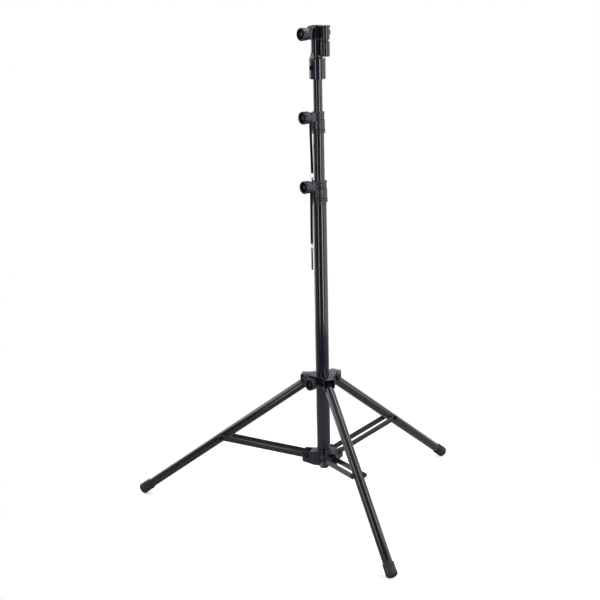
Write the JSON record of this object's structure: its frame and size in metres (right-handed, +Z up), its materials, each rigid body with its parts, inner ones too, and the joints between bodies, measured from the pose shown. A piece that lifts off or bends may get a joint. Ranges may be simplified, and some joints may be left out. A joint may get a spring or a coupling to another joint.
{
  "type": "light stand",
  "caption": "Folding light stand: tripod base with braced legs, telescoping column with screw-locked collars, and a socket head with a flip-over spigot.",
  "frame": {"origin": "on the floor, under the middle of the box round the open stand", "axes": "+Z up along the column; the front leg points along -Y and the other two lie 120 degrees to either side"},
  "size_m": [1.0636, 0.9262, 1.4812],
  "materials": {
    "black_tube": "black anodised, satin gloss",
    "black_bar": "black powder coat",
    "black_casting": "black painted casting",
    "black_plastic": "black moulded plastic",
    "black_rubber": "black rubber",
    "dark_steel": "blackened steel",
    "bright_steel": "bright plated steel",
    "grey_nylon": "grey nylon",
    "black_webbing": "woven black cord"
  },
  "bodies": {
    "column": {"base_tube": "black_tube", "base_plug": "black_rubber", "hub": "black_casting", "hub_rivet_front": "dark_steel", "hub_rivet_right": "dark_steel", "hub_rivet_left": "dark_steel", "lower_collar": "black_plastic", "lower_liner": "grey_nylon", "lower_lanyard": "black_webbing", "lower_ring": "bright_steel", "lower_pin": "dark_steel"},
    "crown": {"crown": "black_casting", "crown_bolt_front": "dark_steel", "crown_bolt_right": "dark_steel", "crown_bolt_left": "dark_steel"},
    "mid_section": {"mid_tube": "black_tube", "mid_bush": "grey_nylon", "upper_collar": "black_plastic", "upper_liner": "grey_nylon", "upper_lanyard": "black_webbing", "upper_ring": "bright_steel", "upper_pin": "dark_steel"},
    "top_section": {"top_tube": "black_tube", "top_bush": "grey_nylon", "head_socket": "black_casting", "hinge_pin": "bright_steel", "sleeve_bolt": "dark_steel"},
    "spigot": {"spigot": "black_casting"},
    "side_knob": {"side_knob": "dark_steel"},
    "crown_knob": {"crown_knob": "black_plastic", "crown_knob_screw": "dark_steel"},
    "lower_knob": {"lower_knob": "black_plastic", "lower_knob_screw": "dark_steel"},
    "upper_knob": {"upper_knob": "black_plastic", "upper_knob_screw": "dark_steel"},
    "head_knob": {"head_knob": "black_plastic", "head_knob_screw": "dark_steel"},
    "leg_front": {"leg_front_tube": "black_tube", "leg_front_plug": "grey_nylon", "leg_front_tip": "black_rubber"},
    "brace_front": {"brace_front_bar_l": "black_bar", "brace_front_bar_r": "black_bar", "brace_front_bolt": "dark_steel", "brace_front_nut": "dark_steel"},
    "leg_right": {"leg_right_tube": "black_tube", "leg_right_plug": "grey_nylon", "leg_right_tip": "black_rubber"},
    "brace_right": {"brace_right_bar_l": "black_bar", "brace_right_bar_r": "black_bar", "brace_right_bolt": "dark_steel", "brace_right_nut": "dark_steel"},
    "leg_left": {"leg_left_tube": "black_tube", "leg_left_plug": "grey_nylon", "leg_left_tip": "black_rubber"},
    "brace_left": {"brace_left_bar_l": "black_bar", "brace_left_bar_r": "black_bar", "brace_left_bolt": "dark_steel", "brace_left_nut": "dark_steel"}
  },
  "joints": [
    {"name": "crown_slide", "type": "slide", "parent": "column", "child": "crown", "axis": [0, 0, 1], "range_m": [0, 0.379], "deforming": ["lower_lanyard", "lower_ring", "lower_pin"]},
    {"name": "leg_front_fold", "type": "hinge", "parent": "crown", "child": "leg_front", "pos_m": [0, 0.1006, 0.405], "axis": [1, 0, 0], "range_deg": [0, 50.26]},
    {"name": "brace_front_fold", "type": "hinge", "parent": "column", "child": "brace_front", "pos_m": [0, 0.0976, 0.166], "axis": [-1, 0, 0], "range_deg": [0, 76.54]},
    {"name": "leg_right_fold", "type": "hinge", "parent": "crown", "child": "leg_right", "pos_m": [0.0407, 0.1711, 0.405], "axis": [-0.5, 0.866, 0], "range_deg": [0, 50.26]},
    {"name": "brace_right_fold", "type": "hinge", "parent": "column", "child": "brace_right", "pos_m": [0.0433, 0.1726, 0.166], "axis": [0.5, -0.866, 0], "range_deg": [0, 76.54]},
    {"name": "leg_left_fold", "type": "hinge", "parent": "crown", "child": "leg_left", "pos_m": [-0.0407, 0.1711, 0.405], "axis": [-0.5, -0.866, 0], "range_deg": [0, 50.26]},
    {"name": "brace_left_fold", "type": "hinge", "parent": "column", "child": "brace_left", "pos_m": [-0.0433, 0.1726, 0.166], "axis": [0.5, 0.866, 0], "range_deg": [0, 76.54]},
    {"name": "mid_slide", "type": "slide", "parent": "column", "child": "mid_section", "axis": [0, 0, 1], "range_m": [-0.135, 0.52], "deforming": ["upper_lanyard", "upper_ring", "upper_pin"]},
    {"name": "top_slide", "type": "slide", "parent": "mid_section", "child": "top_section", "axis": [0, 0, 1], "range_m": [-0.09, 0.6]},
    {"name": "spigot_flip", "type": "hinge", "parent": "top_section", "child": "spigot", "pos_m": [0.00731, 0.13148, 1.4785], "axis": [-0.9107, -0.4131, 0], "range_deg": [0, 180]},
    {"name": "crown_knob_turn", "type": "hinge", "parent": "crown", "child": "crown_knob", "pos_m": [-0.03897, 0.1251, 0.4052], "axis": [-0.866, -0.5, 0], "range_deg": [0, 360]},
    {"name": "lower_knob_turn", "type": "hinge", "parent": "column", "child": "lower_knob", "pos_m": [-0.04098, 0.12901, 1.011], "axis": [-0.9107, -0.4131, 0], "range_deg": [0, 360]},
    {"name": "upper_knob_turn", "type": "hinge", "parent": "mid_section", "child": "upper_knob", "pos_m": [-0.04098, 0.12901, 1.216], "axis": [-0.9107, -0.4131, 0], "range_deg": [0, 360]},
    {"name": "head_knob_turn", "type": "hinge", "parent": "top_section", "child": "head_knob", "pos_m": [-0.04098, 0.12901, 1.457], "axis": [-0.9107, -0.4131, 0], "range_deg": [0, 360]},
    {"name": "side_knob_turn", "type": "hinge", "parent": "top_section", "child": "side_knob", "pos_m": [0.02997, 0.14624, 1.46], "axis": [0.999, -0.0454, 0], "range_deg": [0, 360]}
  ],
  "couplings": [
    {"joint": "leg_front_fold", "follows": "crown_slide", "rad_per_m": 2.312},
    {"joint": "brace_front_fold", "follows": "crown_slide", "rad_per_m": 3.5224},
    {"joint": "leg_right_fold", "follows": "crown_slide", "rad_per_m": 2.312},
    {"joint": "brace_right_fold", "follows": "crown_slide", "rad_per_m": 3.5224},
    {"joint": "leg_left_fold", "follows": "crown_slide", "rad_per_m": 2.312},
    {"joint": "brace_left_fold", "follows": "crown_slide", "rad_per_m": 3.5224}
  ]
}
